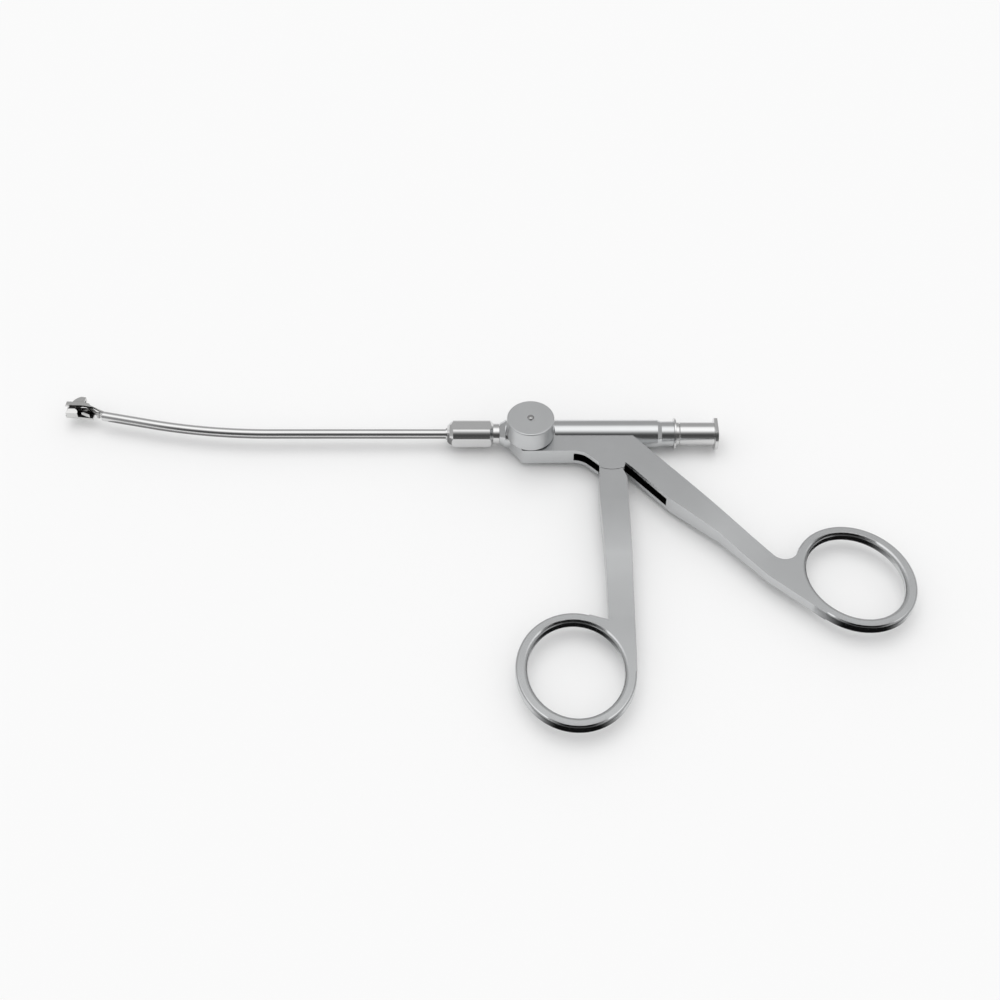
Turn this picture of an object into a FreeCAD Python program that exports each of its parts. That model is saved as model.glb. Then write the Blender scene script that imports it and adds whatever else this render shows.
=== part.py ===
import FreeCAD, Part
import math
import os

os.makedirs("parts", exist_ok=True)

Vec = FreeCAD.Vector

# Micro punch forceps in millimetres. The origin is the centre of the rinsing port's mouth.
# X runs back out of the port along the shaft's axis, so the tip lies at negative X.
# Y points away from the finger rings. Z is square to the handle plate, on the lock knob's side.

# Rinsing port
port_flange_diameter = 7.7
port_flange_width = 6.2
port_flange_length = 0.9
port_barrel_diameter = 5.7
port_length = 10.1
port_socket_diameter = 4.28
port_socket_depth = 7.5
port_socket_taper = 0.06
port_bore_diameter = 2.0
port_thread_diameter = 4.2
port_thread_length = 5.0
port_groove_width = 0.3
port_groove_depth = 0.12
port_groove_offset = 9.2
port_washer_diameter = 7.6
port_washer_length = 0.4

# Body tube of the handle
tube_diameter = 6.8
tube_rear_diameter = 6.1
tube_rear_length = 3.0
tube_step_length = 1.0
tube_behind_pivot = 15.5
nose_length = 1.4
nose_diameter = 5.2
nose_lead = 0.1
spigot_bore_diameter = 4.0
chamber_diameter = 5.0
chamber_start = 12.9

# Handle plate and thumb leg
plate_thickness = 4.4
plate_depth = 7.4
plate_front_offset = 5.4
plate_bottom_length = 12.1
plate_curve_radius = 5.0
cheek_left = 2.9
cheek_right_turn = -59.0
slot_width = 2.4
leg_angle = 50.0
leg_line_x = 34.8
leg_line_y = -6.2
leg_back = 5.2
leg_root_along = 2.5
leg_root_width = 6.95
leg_wide_length = 15.0
leg_narrow_start = 29.0
leg_narrow_width = 5.05
leg_straight = 44.0
web_along = 40.9
web_radius = 3.3
slot_leg_length = 13.9
slot_leg_depth = 1.9
slot_front_reach = 8.7
slot_front_y = -5.6
slot_arm_left = 3.6
slot_arm_right = 3.2
slot_top_y = -1.6

# Finger rings
ring_long_radius = 13.0
ring_short_radius = 11.5
ring_band = 2.6
ring_thickness = 2.4
ring_inner_edge = 0.85
ring_outer_edge = 0.5
thumb_ring_x = 78.6
thumb_ring_y = -43.2
thumb_ring_tilt = -60.0
finger_ring_x = 16.0
finger_ring_y = -67.4
finger_ring_tilt = -86.0

# Finger lever and its pivot
pivot_x = 26.2
pivot_y = -7.2
pivot_pin_diameter = 2.2
cheek_radius = 5.8
shoulder_gap = 0.15
lever_top_left = 23.0
lever_top_right = 29.6
lever_left = 23.5
lever_right = 29.55
lever_top_y = -15.2
lever_left_y = -19.0
lever_knee_y = -36.0
lever_taper_start = -22.0
lever_taper_end = -54.0
lever_web_rise = 0.76
tongue_clearance = 0.1
tongue_disc_diameter = 5.6
nose_radius = 0.7
nose_arm = 5.4
nose_lean = 8.5

# Lock knob and screw
knob_diameter = 11.2
knob_height = 5.5
knob_gap = 0.2
knob_edge = 0.35
knob_x = 7.25
spotface_height = 2.3
spotface_clearance = 0.25
boss_diameter = 5.6
boss_height = 2.6
boss_clearance = 0.2
screw_head_room = 0.8
screw_diameter = 3.0
screw_pilot_diameter = 1.3
screw_pilot_lead = 0.4
screw_pilot_cover = 0.2
screw_end_diameter = 1.6
screw_end_height = 0.15
lock_groove_root = 2.9
lock_groove_length = 2.2

# Rotation collar
collar_length = 11.4
collar_diameter = 6.6
collar_flat_width = 6.0
collar_front_length = 1.8
collar_neck_length = 1.5
collar_neck_diameter = 5.0
collar_rear_chamfer = 0.8
collar_lip_diameter = 2.9
collar_lip_length = 0.35
collar_face_diameter = 4.0
collar_sheath_depth = 8.0
spigot_length = 12.2
seal_section = 0.7
seal_squeeze = 0.02
seal_side_gap = 0.1
spigot_seal_offset = 3.4
rod_seal_depth = 1.0
gland_diameter = 3.2
gland_length = 1.2
gland_slot = 0.5

# Sheath
sheath_diameter = 2.36
sheath_bore = 1.7
sheath_straight = 42.2
sheath_bend_radius = 137.0
sheath_bend_angle = 12.5
sheath_end_straight = 12.0

# Drive rods
rod_diameter = 1.2
bend_rod_diameter = 0.8
front_rod_diameter = 1.0
rod_joint_gap = 0.1
rod_room = 0.2
ferrule_diameter = 1.4
ferrule_length = 3.0
ferrule_clearance = 0.05
spool_diameter = 4.2
spool_core_diameter = 2.0
spool_flange = 0.8
spool_side_clearance = 0.05
nut_width = 2.6
nut_length = 1.4
bush_length = 3.0
bush_gap = 0.3
bush_flutes = 4
bush_flute_radius = 0.55
rod_guide_reach = 1.9

# Tip: fork, anvil, jaw and link. Points are taken from the jaw's pin.
head_angle = 3.0
head_reach = 8.1
head_rise = 2.6
rail_height = 1.1
rail_front = 1.7
rail_rear = 2.9
head_width = 2.7
fork_slot = 1.46
fork_slot_rear = 7.7
plug_length = 3.0
side_plate_depth = 2.3
side_plate_rear_depth = 2.9
side_plate_rear = 5.4
side_plate_gap = 0.72
anvil_top = 0.5
jaw_thickness = 1.3
jaw_pin_diameter = 0.7
crank_x = 1.95
crank_y = 1.6
link_thickness = 0.42
link_slot = 0.52
link_eye_radius = 0.52
link_width = 0.62
link_room = 0.15
link_gate_length = 4.0
small_pin_diameter = 0.5
link_pivot_clearance = 0.14
rod_end_lead = 1.3
rod_end_width = 1.24
rod_end_back = 0.35

# Fits
running = 0.03
slide_fit = 0.05

# Places worked out along the shaft. The nose of the body is the datum of the measured points.
washer_x = -port_length
body_rear_x = washer_x - port_washer_length
datum_x = body_rear_x - tube_behind_pivot - pivot_x
body_front_x = datum_x - nose_lead
collar_rear_x = body_front_x - collar_neck_length
collar_front_x = collar_rear_x - collar_length
bend_x = collar_front_x - sheath_straight
knob_axis_x = datum_x + knob_x
knob_axis_y = -(lock_groove_root / 2 + screw_pilot_diameter / 2 + slide_fit)
pivot = Vec(datum_x + pivot_x, pivot_y, 0)
bend = math.radians(sheath_bend_angle)
bend_centre = Vec(bend_x, sheath_bend_radius, 0)
bend_end = bend_centre + Vec(-math.sin(bend), -math.cos(bend), 0) * sheath_bend_radius
tip_axis = Vec(-math.cos(bend), math.sin(bend), 0)
sheath_end = bend_end + tip_axis * sheath_end_straight
head_turn = math.radians(head_angle)
head_back = Vec(math.cos(head_turn), -math.sin(head_turn), 0)
head_up = Vec(math.sin(head_turn), math.cos(head_turn), 0)
jaw_pin = sheath_end - head_back * head_reach + head_up * head_rise
rod_end = sheath_end + tip_axis * rod_end_lead
crank = jaw_pin + Vec(crank_x, crank_y, 0)
half_plate = plate_thickness / 2
nose_centre = pivot + Vec(math.sin(math.radians(nose_lean)), math.cos(math.radians(nose_lean)), 0) * nose_arm
spool_gap = 2 * (nose_radius + spool_side_clearance)
spool_length = spool_gap + 2 * spool_flange
spool_x = nose_centre.x


def plan(x, y, z=0):
    """A point given from the body's nose."""
    return Vec(datum_x + x, y, z)


def prism(points, low, high):
    """An upright solid on a polygon."""
    outline = [Vec(p.x, p.y, low) for p in points]
    face = Part.Face(Part.makePolygon(outline + [outline[0]]))
    return face.extrude(Vec(0, 0, high - low))


def wire_prism(edges, low, high):
    """An upright solid on lines and arcs drawn at height zero."""
    face = Part.Face(Part.Wire(Part.sortEdges(edges)[0]))
    face.translate(Vec(0, 0, low))
    return face.extrude(Vec(0, 0, high - low))


def line(a, b):
    return Part.makeLine(a, b)


def arc(a, middle, b):
    return Part.Arc(a, middle, b).toShape()


def turned(profile):
    """A turned solid about the shaft's axis, from points of place and radius."""
    points = [Vec(x, r, 0) for x, r in profile]
    face = Part.Face(Part.makePolygon(points + [points[0]]))
    return face.revolve(Vec(0, 0, 0), Vec(1, 0, 0), 360)


def rod(x_start, x_end, diameter):
    return Part.makeCylinder(diameter / 2, x_end - x_start, Vec(x_start, 0, 0), Vec(1, 0, 0))


def post(centre, diameter, low, high):
    """An upright cylinder."""
    return Part.makeCylinder(diameter / 2, high - low, Vec(centre.x, centre.y, low), Vec(0, 0, 1))


def ring_seal(x, inner_radius):
    """An O-ring round the shaft's axis that just meets its groove."""
    section = seal_section / 2
    return Part.makeTorus(inner_radius + section, section, Vec(x, 0, 0), Vec(1, 0, 0))


def oval(centre, tilt, grow, low, high):
    """An upright oval solid, grown or shrunk from the ring's middle line."""
    curve = Part.Ellipse(Vec(0, 0, 0), ring_long_radius + grow, ring_short_radius + grow)
    face = Part.Face(Part.Wire(curve.toShape()))
    solid = face.extrude(Vec(0, 0, high - low))
    solid.rotate(Vec(0, 0, 0), Vec(0, 0, 1), tilt)
    solid.translate(Vec(centre.x, centre.y, low))
    return solid


def finger_ring(centre, tilt):
    """A flat oval ring with all its edges rounded."""
    half = ring_thickness / 2
    outside = oval(centre, tilt, ring_band / 2, -half, half)
    ring = outside.cut(oval(centre, tilt, -ring_band / 2, -half, half))
    rims = sorted((e for e in ring.Edges if e.BoundBox.ZLength < 0.01), key=lambda e: e.Length)
    ring = ring.makeFillet(ring_inner_edge, rims[:2])
    rims = sorted((e for e in ring.Edges if e.BoundBox.ZLength < 0.01), key=lambda e: e.Length)
    return ring.makeFillet(ring_outer_edge, rims[-2:])


def ring_and_leg(leg, centre, tilt):
    """Joins a leg to its finger ring. The leg stops at the ring's middle line."""
    inside = oval(centre, tilt, 0, -plate_thickness, plate_thickness)
    return leg.cut(inside).fuse(finger_ring(centre, tilt)).removeSplitter()


def ring_point(centre, tilt, grow, turn):
    """A point of an oval, at an angle from its long axis."""
    a = (ring_long_radius + grow) * math.cos(math.radians(turn))
    b = (ring_short_radius + grow) * math.sin(math.radians(turn))
    c = math.cos(math.radians(tilt))
    s = math.sin(math.radians(tilt))
    return centre + Vec(a * c - b * s, a * s + b * c, 0)


def tangent_turn(place, centre, tilt, grow, side):
    """Where a straight edge from a place outside just touches an oval, as an angle."""
    c = math.cos(math.radians(tilt))
    s = math.sin(math.radians(tilt))
    x = (place.x - centre.x) * c + (place.y - centre.y) * s
    y = -(place.x - centre.x) * s + (place.y - centre.y) * c
    u = x / (ring_long_radius + grow)
    v = y / (ring_short_radius + grow)
    return math.degrees(math.atan2(v, u) + side * math.acos(1 / math.hypot(u, v)))


def oval_top(centre, tilt, grow, x):
    """The upper point of an oval at a given x, as an angle from its long axis."""
    a = (ring_long_radius + grow) * math.cos(math.radians(tilt))
    b = -(ring_short_radius + grow) * math.sin(math.radians(tilt))
    lean = math.atan2(b, a)
    spread = math.acos((x - centre.x) / math.hypot(a, b))
    turns = [math.degrees(lean + spread), math.degrees(lean - spread)]
    return max(turns, key=lambda turn: ring_point(centre, tilt, grow, turn).y)


thumb_centre = plan(thumb_ring_x, thumb_ring_y)
finger_centre = plan(finger_ring_x, finger_ring_y)
leg_direction = Vec(math.cos(math.radians(leg_angle)), -math.sin(math.radians(leg_angle)), 0)
leg_normal = Vec(math.sin(math.radians(leg_angle)), math.cos(math.radians(leg_angle)), 0)
leg_outer = plan(leg_line_x, leg_line_y)


def leg_point(along, width):
    """A point of the thumb leg, along its outer edge and in from it."""
    return leg_outer + leg_direction * along - leg_normal * width


def web_point(turn):
    """A point of the rounded web between the thumb leg's outer edge and its ring."""
    centre = leg_point(web_along, -web_radius)
    turn = math.radians(turn)
    return centre + leg_direction * web_radius * math.cos(turn) + leg_normal * web_radius * math.sin(turn)


def side_taper(start, end, direction, thick, thin, reach):
    """A block whose two faces sweep in from the plate's thickness to the ring's, on flat S-curves."""
    across = Vec(-direction.y, direction.x, 0)
    run = end - start
    drop = (thick - thin) / 2
    corners = []
    edges = []
    for face_side in (1, -1):
        steps = [start + run * share + Vec(0, 0, face_side * (thick / 2 - fall * drop))
                 for share, fall in ((0, 0), (0.25, 0.125), (0.5, 0.5), (0.75, 0.875), (1, 1))]
        before = steps[0] - direction * reach
        beyond = steps[4] + direction * reach
        edges += [line(before, steps[0]), arc(steps[0], steps[1], steps[2]),
                  arc(steps[2], steps[3], steps[4]), line(steps[4], beyond)]
        corners += [before, beyond]
    edges += [line(corners[0], corners[2]), line(corners[1], corners[3])]
    face = Part.Face(Part.Wire(Part.sortEdges(edges)[0]))
    face.translate(across * -reach)
    return face.extrude(across * 2 * reach)


def plate_outline():
    """The plate with its drooping cheek and the thumb leg, as lines and arcs."""
    start = plan(nose_length, -nose_diameter / 2 + 0.6)
    corner = plan(plate_front_offset, -plate_depth)
    curve_start = plan(plate_front_offset + plate_bottom_length, -plate_depth)
    r = plate_curve_radius
    q = math.radians(22.5)
    curve_middle = curve_start + Vec(r * math.sin(q), -r * (1 - math.cos(q)), 0)
    curve_end = curve_start + Vec(r * math.sin(2 * q), -r * (1 - math.cos(2 * q)), 0)
    left = pivot.x - cheek_left
    slope_end = Vec(left, curve_end.y - (left - curve_end.x), 0)
    cheek_start = Vec(left, pivot.y - math.sqrt(cheek_radius ** 2 - cheek_left ** 2), 0)
    right_turn = math.radians(cheek_right_turn)
    cheek_end = pivot + Vec(math.cos(right_turn), math.sin(right_turn), 0) * cheek_radius
    cheek_middle = pivot + Vec(0, -cheek_radius, 0)
    apex = cheek_end + Vec(0.3, 1.3, 0)
    root = leg_point(leg_root_along, leg_root_width)
    wide = leg_point(leg_wide_length, leg_root_width)
    narrow = leg_point(leg_narrow_start, leg_narrow_width)
    low = leg_point(leg_straight, leg_narrow_width)
    foot_turn = tangent_turn(low, thumb_centre, thumb_ring_tilt, ring_band / 2, 1)
    foot = ring_point(thumb_centre, thumb_ring_tilt, ring_band / 2, foot_turn)
    back = leg_point(-leg_back, 0)
    return [line(start, corner), line(corner, curve_start), arc(curve_start, curve_middle, curve_end),
            line(curve_end, slope_end), line(slope_end, cheek_start),
            arc(cheek_start, cheek_middle, cheek_end), line(cheek_end, apex), line(apex, root),
            line(root, wide), line(wide, narrow), line(narrow, low), line(low, foot),
            line(foot, thumb_centre),
            line(thumb_centre, web_point(47)), arc(web_point(47), web_point(-21), web_point(-90)),
            line(web_point(-90), back), line(back, start)]


def lever_slot():
    """The milled slot for the lever's tongue, in plan. It runs out through the plate's lower edge."""
    end = slot_leg_length
    front = pivot.x - slot_front_reach
    below = pivot.y - cheek_radius - 4.0
    return [Vec(front, below, 0), Vec(front, slot_front_y, 0), Vec(pivot.x - slot_arm_left, slot_top_y, 0),
            Vec(pivot.x + slot_arm_right, slot_top_y, 0), leg_point(-2.0, leg_root_width - slot_leg_depth),
            leg_point(end, leg_root_width - slot_leg_depth), leg_point(end, leg_root_width + 2.5),
            Vec(pivot.x + cheek_radius, below, 0)]


def body_tube():
    rear = tube_rear_diameter / 2
    full = tube_diameter / 2
    step_x = body_rear_x - tube_rear_length
    full_x = step_x - tube_step_length
    return turned([(body_front_x, 0), (body_front_x, nose_diameter / 2),
                   (body_front_x + nose_length, full), (full_x, full), (step_x, rear),
                   (body_rear_x, rear), (body_rear_x, 0)])


def make_handle_frame():
    leg = wire_prism(plate_outline(), -half_plate, half_plate)
    taper_start = leg_point(leg_wide_length, 0)
    taper_end = leg_point(leg_straight, 0)
    leg = leg.common(side_taper(taper_start, taper_end, leg_direction, plate_thickness, ring_thickness, 80))
    body = ring_and_leg(leg, thumb_centre, thumb_ring_tilt)
    body = body.fuse(body_tube())
    knob_axis = Vec(knob_axis_x, knob_axis_y, 0)
    spotface = knob_diameter + 2 * spotface_clearance
    body = body.cut(post(knob_axis, spotface, spotface_height, tube_diameter))
    body = body.fuse(post(knob_axis, boss_diameter, spotface_height - 1.0, spotface_height + boss_height))
    chamber_x = datum_x + chamber_start
    body = body.cut(rod(body_front_x - 1, chamber_x + 1, spigot_bore_diameter))
    body = body.cut(rod(chamber_x, body_rear_x - port_thread_length, chamber_diameter))
    body = body.cut(rod(body_rear_x - port_thread_length - 1, body_rear_x + 1, port_thread_diameter))
    body = body.cut(prism(lever_slot(), -slot_width / 2, slot_width / 2))
    body = body.cut(post(pivot, pivot_pin_diameter, -plate_thickness, plate_thickness))
    body = body.cut(post(knob_axis, screw_diameter + 2 * running, 0, plate_thickness * 2))
    body = body.cut(post(knob_axis, screw_pilot_diameter + 2 * slide_fit, -plate_thickness, 1))
    return body.removeSplitter()


def lever_outline():
    """The lever below its shoulder, down to the ring's middle line."""
    shoulder = cheek_radius + shoulder_gap
    left = pivot.x - cheek_left
    a = Vec(left, pivot.y - math.sqrt(shoulder ** 2 - cheek_left ** 2), 0)
    b = pivot + Vec(0, -shoulder, 0)
    turn = math.radians(-66)
    c = pivot + Vec(math.cos(turn), math.sin(turn), 0) * shoulder
    knee = plan(lever_right, lever_knee_y)
    foot_turn = tangent_turn(knee, finger_centre, finger_ring_tilt, ring_band / 2, -1)
    foot = ring_point(finger_centre, finger_ring_tilt, ring_band / 2, foot_turn)
    web_grow = ring_band / 2 + lever_web_rise
    web_turn = oval_top(finger_centre, finger_ring_tilt, web_grow, datum_x + lever_left)
    web_corner = ring_point(finger_centre, finger_ring_tilt, web_grow, web_turn)
    web_foot_turn = tangent_turn(web_corner, finger_centre, finger_ring_tilt, ring_band / 2, 1)
    web_foot = ring_point(finger_centre, finger_ring_tilt, ring_band / 2, web_foot_turn)
    corners = [c, plan(lever_top_right, lever_top_y), plan(lever_top_right, lever_taper_start), knee, foot,
               finger_centre, web_foot, web_corner, plan(lever_left, lever_knee_y),
               plan(lever_top_left, lever_taper_start), plan(lever_top_left, lever_left_y), a]
    return [arc(a, b, c)] + [line(corners[i], corners[i + 1]) for i in range(len(corners) - 1)]


def lever_tongue():
    """The thin upper end: round the pivot, and up to the nose in the spool."""
    half = slot_width / 2 - tongue_clearance
    shoulder = cheek_radius + shoulder_gap
    disc = post(pivot, tongue_disc_diameter, -half, half)
    lean = (nose_centre - pivot).normalize()
    side = Vec(lean.y, -lean.x, 0)
    arm = prism([pivot - side * 2.2, pivot + side * 2.2, nose_centre + side * 0.62 - lean * 0.3,
                 nose_centre - side * 0.62 - lean * 0.3], -half, half)
    nose = post(nose_centre, 2 * nose_radius, -half, half)
    left = pivot.x - cheek_left + 0.5
    low = pivot.y - shoulder - 0.5
    foot = prism([Vec(left, pivot.y, 0), Vec(left, low, 0), Vec(pivot.x + 2.0, low, 0),
                  Vec(pivot.x + 2.7, pivot.y, 0)], -half, half)
    return disc.fuse(arm).fuse(nose).fuse(foot)


def make_finger_lever():
    leg = wire_prism(lever_outline(), -half_plate, half_plate)
    down = Vec(0, -1, 0)
    start = plan(lever_left, lever_taper_start)
    end = plan(lever_left, lever_taper_end)
    leg = leg.common(side_taper(start, end, down, plate_thickness, ring_thickness, 80))
    body = ring_and_leg(leg, finger_centre, finger_ring_tilt)
    body = body.fuse(lever_tongue())
    body = body.cut(post(pivot, pivot_pin_diameter + 2 * running, -plate_thickness, plate_thickness))
    return body.removeSplitter()


def make_lever_pivot_pin():
    return post(pivot, pivot_pin_diameter, -half_plate, half_plate)


def knob_bottom():
    return spotface_height + knob_gap


def screw_shank_top():
    return spotface_height + boss_height + screw_head_room


def make_lock_knob():
    low = knob_bottom()
    high = low + knob_height
    knob = Part.makeCylinder(knob_diameter / 2, knob_height, Vec(knob_axis_x, knob_axis_y, low))
    rims = [e for e in knob.Edges if e.BoundBox.ZLength < 0.01]
    knob = knob.makeFillet(knob_edge, rims)
    axis = Vec(knob_axis_x, knob_axis_y, 0)
    knob = knob.cut(post(axis, boss_diameter + 2 * boss_clearance, low - 1, screw_shank_top()))
    return knob.cut(post(axis, screw_end_diameter, low, high + 1))


def make_lock_screw():
    axis = Vec(knob_axis_x, knob_axis_y, 0)
    top = knob_bottom() + knob_height
    shank_top = screw_shank_top()
    shank_low = spigot_bore_diameter / 2 - screw_pilot_lead
    screw = post(axis, screw_diameter, shank_low, shank_top)
    screw = screw.fuse(post(axis, screw_end_diameter, shank_top, top + screw_end_height))
    screw = screw.fuse(post(axis, screw_pilot_diameter, screw_pilot_cover - half_plate, shank_low))
    return screw.removeSplitter()


def make_rotation_collar():
    grip = collar_diameter / 2
    neck = collar_neck_diameter / 2
    spigot = spigot_bore_diameter / 2 - running
    groove = lock_groove_root / 2
    groove_a = knob_axis_x - lock_groove_length / 2
    groove_b = knob_axis_x + lock_groove_length / 2
    seal_x = body_front_x + spigot_seal_offset
    seal_root = spigot - seal_section + seal_squeeze
    seal_half = seal_section / 2 + seal_side_gap
    end_x = body_front_x + spigot_length
    lip = collar_lip_diameter / 2
    face_x = collar_front_x + collar_lip_length
    face = collar_face_diameter / 2
    full_x = collar_front_x + collar_front_length
    middle_x = face_x + 0.4 * (full_x - face_x)
    middle = face + 0.5 * (grip - face)
    collar = turned([(collar_front_x, 0), (collar_front_x, lip), (face_x, lip), (face_x, face),
                     (middle_x, middle), (full_x, grip), (collar_rear_x - collar_rear_chamfer, grip),
                     (collar_rear_x, neck), (body_front_x - slide_fit, neck),
                     (body_front_x - slide_fit, spigot),
                     (seal_x - seal_half, spigot), (seal_x - seal_half, seal_root),
                     (seal_x + seal_half, seal_root), (seal_x + seal_half, spigot),
                     (groove_a, spigot), (groove_a, groove), (groove_b, groove), (groove_b, spigot),
                     (end_x, spigot), (end_x, 0)])
    collar = collar.cut(collar_flats())
    collar = collar.cut(rod(collar_front_x - 1, collar_front_x + collar_sheath_depth, sheath_diameter))
    collar = collar.cut(rod(collar_front_x, end_x + 1, rod_diameter + 2 * rod_room))
    pocket_x = end_x - gland_length - rod_seal_depth
    return collar.cut(rod(pocket_x, end_x + 1, gland_diameter))


def collar_flats():
    """Four milled flats over the whole grip, square to each other."""
    cuts = None
    for quarter in range(4):
        cutter = Part.makeBox(collar_length, collar_diameter, collar_diameter,
                              Vec(collar_front_x, -collar_diameter / 2, collar_flat_width / 2))
        cutter.rotate(Vec(0, 0, 0), Vec(1, 0, 0), 90 * quarter)
        cuts = cutter if cuts is None else cuts.fuse(cutter)
    return cuts


def make_spigot_seal():
    spigot = spigot_bore_diameter / 2 - running
    return ring_seal(body_front_x + spigot_seal_offset, spigot - seal_section + seal_squeeze)


def make_rod_seal():
    end_x = body_front_x + spigot_length
    return ring_seal(end_x - gland_length - seal_section / 2, rod_diameter / 2 + seal_squeeze)


def make_seal_gland():
    end_x = body_front_x + spigot_length
    gland = rod(end_x - gland_length, end_x, gland_diameter)
    gland = gland.cut(rod(end_x - gland_length - 1, end_x + 1, rod_diameter + 2 * slide_fit))
    slot = Part.makeBox(gland_slot, gland_slot, gland_diameter + 1,
                        Vec(end_x - gland_slot + 0.1, -gland_slot / 2, -gland_diameter / 2 - 0.5))
    return gland.cut(slot)


def sheath_path():
    """The sheath's middle line: straight, one large arc, straight."""
    start = Vec(collar_front_x + collar_sheath_depth, 0, 0)
    middle = bend_centre + Vec(-math.sin(bend / 2), -math.cos(bend / 2), 0) * sheath_bend_radius
    return Part.Wire([line(start, Vec(bend_x, 0, 0)), arc(Vec(bend_x, 0, 0), middle, bend_end),
                      line(bend_end, sheath_end)])


def pipe(path, diameter):
    start = path.Vertexes[0].Point
    direction = path.Edges[0].tangentAt(path.Edges[0].FirstParameter)
    circle = Part.Wire(Part.makeCircle(diameter / 2, start, direction))
    return path.makePipeShell([circle], True, False)


def make_sheath_tube():
    path = sheath_path()
    return pipe(path, sheath_diameter).cut(pipe(path, sheath_bore))


def head_point(back, up, z=0):
    """A point of the tip, from the jaw's pin."""
    return jaw_pin + head_back * back + head_up * up + Vec(0, 0, z)


def head_prism(points, low, high):
    return prism([head_point(x, y) for x, y in points], low, high)


def fork_blank():
    """Rails with a round front end that run back into the sheath's end."""
    half = rail_height / 2
    w = head_width / 2
    top = head_prism([(-rail_front, -half), (-rail_front, half), (rail_rear, half),
                      (head_reach + 0.3, -head_rise + sheath_diameter / 2 + 0.05),
                      (head_reach + 0.3, -head_rise - 0.1), (side_plate_rear, -1.0),
                      (rail_rear, -half)], -w, w)
    corners = [e for e in top.Edges if e.BoundBox.ZLength < 0.01
               and abs((e.CenterOfMass - head_point(-rail_front, 0)).dot(head_back)) < 0.01]
    top = top.makeFillet(0.55, corners)
    neck = Part.makeCone(sheath_diameter / 2, head_width * 0.95, 6.0, sheath_end, tip_axis)
    wide = head_prism([(-rail_front - 1, -4), (-rail_front - 1, 4), (rail_rear + 1.4, 4),
                       (rail_rear + 1.4, -4)], -w, w)
    return top.common(neck.fuse(wide)).common(head_prism([(-3, -6), (-3, 6), (12, 6), (12, -6)], -w, w))


def make_jaw_yoke():
    w = head_width / 2
    yoke = fork_blank()
    plate = head_prism([(-1.5, 0), (-1.5, -side_plate_depth), (side_plate_rear, -side_plate_rear_depth),
                        (side_plate_rear, -0.3)], -w, -side_plate_gap)
    anvil = head_prism([(2.55, -2.25), (3.1, -2.0), (4.7, -side_plate_rear_depth + 0.15),
                        (3.7, -side_plate_rear_depth + 0.35)], -w, anvil_top)
    plug = Part.makeCylinder(sheath_bore / 2, plug_length, sheath_end - tip_axis * plug_length, tip_axis)
    yoke = yoke.fuse(plate).fuse(anvil).fuse(plug)
    slot = fork_slot / 2
    yoke = yoke.cut(head_prism([(-rail_front - 1, 3), (-rail_front - 1, -1.9), (1.9, -1.9), (2.3, -1.6),
                                (side_plate_rear + 0.1, -1.6), (fork_slot_rear, -3.0), (fork_slot_rear, 3)],
                               -slot, slot))
    bore = Part.makeCylinder(front_rod_diameter / 2 + slide_fit, plug_length + 5,
                             sheath_end - tip_axis * (plug_length + 1), tip_axis)
    yoke = yoke.cut(bore)
    yoke = yoke.cut(post(jaw_pin, jaw_pin_diameter, -w - 1, w + 1))
    return yoke.removeSplitter()


def make_jaw_pivot_pin():
    return post(jaw_pin, jaw_pin_diameter, -head_width / 2, head_width / 2)


def jaw_outline():
    """Ear with a round front and a sharp rear corner, hub, and cutting tooth with a round back."""
    ear_front = jaw_pin + Vec(-0.4, 0.7, 0)
    ear_shoulder = jaw_pin + Vec(0.35, 2.1, 0)
    ear_top = jaw_pin + Vec(1.6, 2.85, 0)
    ear_corner = jaw_pin + Vec(2.75, 2.65, 0)
    ear_base = jaw_pin + Vec(2.6, 0.95, 0)
    hub_rear = jaw_pin + Vec(0.85, 0.1, 0)
    waist = jaw_pin + Vec(0.75, -1.2, 0)
    back_middle = jaw_pin + Vec(1.45, -1.95, 0)
    tooth_rear = jaw_pin + Vec(1.55, -2.8, 0)
    tooth_front = jaw_pin + Vec(-1.25, -2.65, 0)
    front_top = jaw_pin + Vec(-1.05, -1.3, 0)
    hub_front = jaw_pin + Vec(-0.75, -0.4, 0)
    return [arc(ear_front, ear_shoulder, ear_top), line(ear_top, ear_corner), line(ear_corner, ear_base),
            line(ear_base, hub_rear), line(hub_rear, waist), arc(waist, back_middle, tooth_rear),
            line(tooth_rear, tooth_front), line(tooth_front, front_top), line(front_top, hub_front),
            line(hub_front, ear_front)]


def make_punch_jaw():
    half = jaw_thickness / 2
    jaw = wire_prism(jaw_outline(), -half, half)
    jaw = jaw.cut(post(jaw_pin, jaw_pin_diameter + 2 * running, -2, 2))
    jaw = jaw.cut(post(crank, small_pin_diameter, -2, 2))
    link_turn = math.degrees(math.atan2(rod_end.y - crank.y, rod_end.x - crank.x))
    eye_room = link_eye_radius + link_room
    for swing in (-42, -28, -14, 0, 10):
        gate = Part.makeBox(link_gate_length, 2 * eye_room, link_slot, Vec(0, -eye_room, -link_slot / 2))
        gate.rotate(Vec(0, 0, 0), Vec(0, 0, 1), link_turn + swing)
        gate.translate(crank)
        jaw = jaw.cut(gate)
    return jaw.cut(post(crank, 2 * eye_room, -link_slot / 2, link_slot / 2))


def make_drive_link():
    half = link_thickness / 2
    direction = (crank - rod_end).normalize()
    side = Vec(-direction.y, direction.x, 0) * link_width / 2
    bar = prism([rod_end - side, rod_end + side, crank + side, crank - side], -half, half)
    link = bar.fuse(post(rod_end, 2 * link_eye_radius, -half, half))
    link = link.fuse(post(crank, 2 * link_eye_radius, -half, half))
    link = link.cut(post(rod_end, small_pin_diameter + 2 * running, -1, 1))
    return link.cut(post(crank, small_pin_diameter + 2 * link_pivot_clearance, -1, 1)).removeSplitter()


def make_crank_pin():
    half = jaw_thickness / 2
    return post(crank, small_pin_diameter, -half, half)


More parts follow.
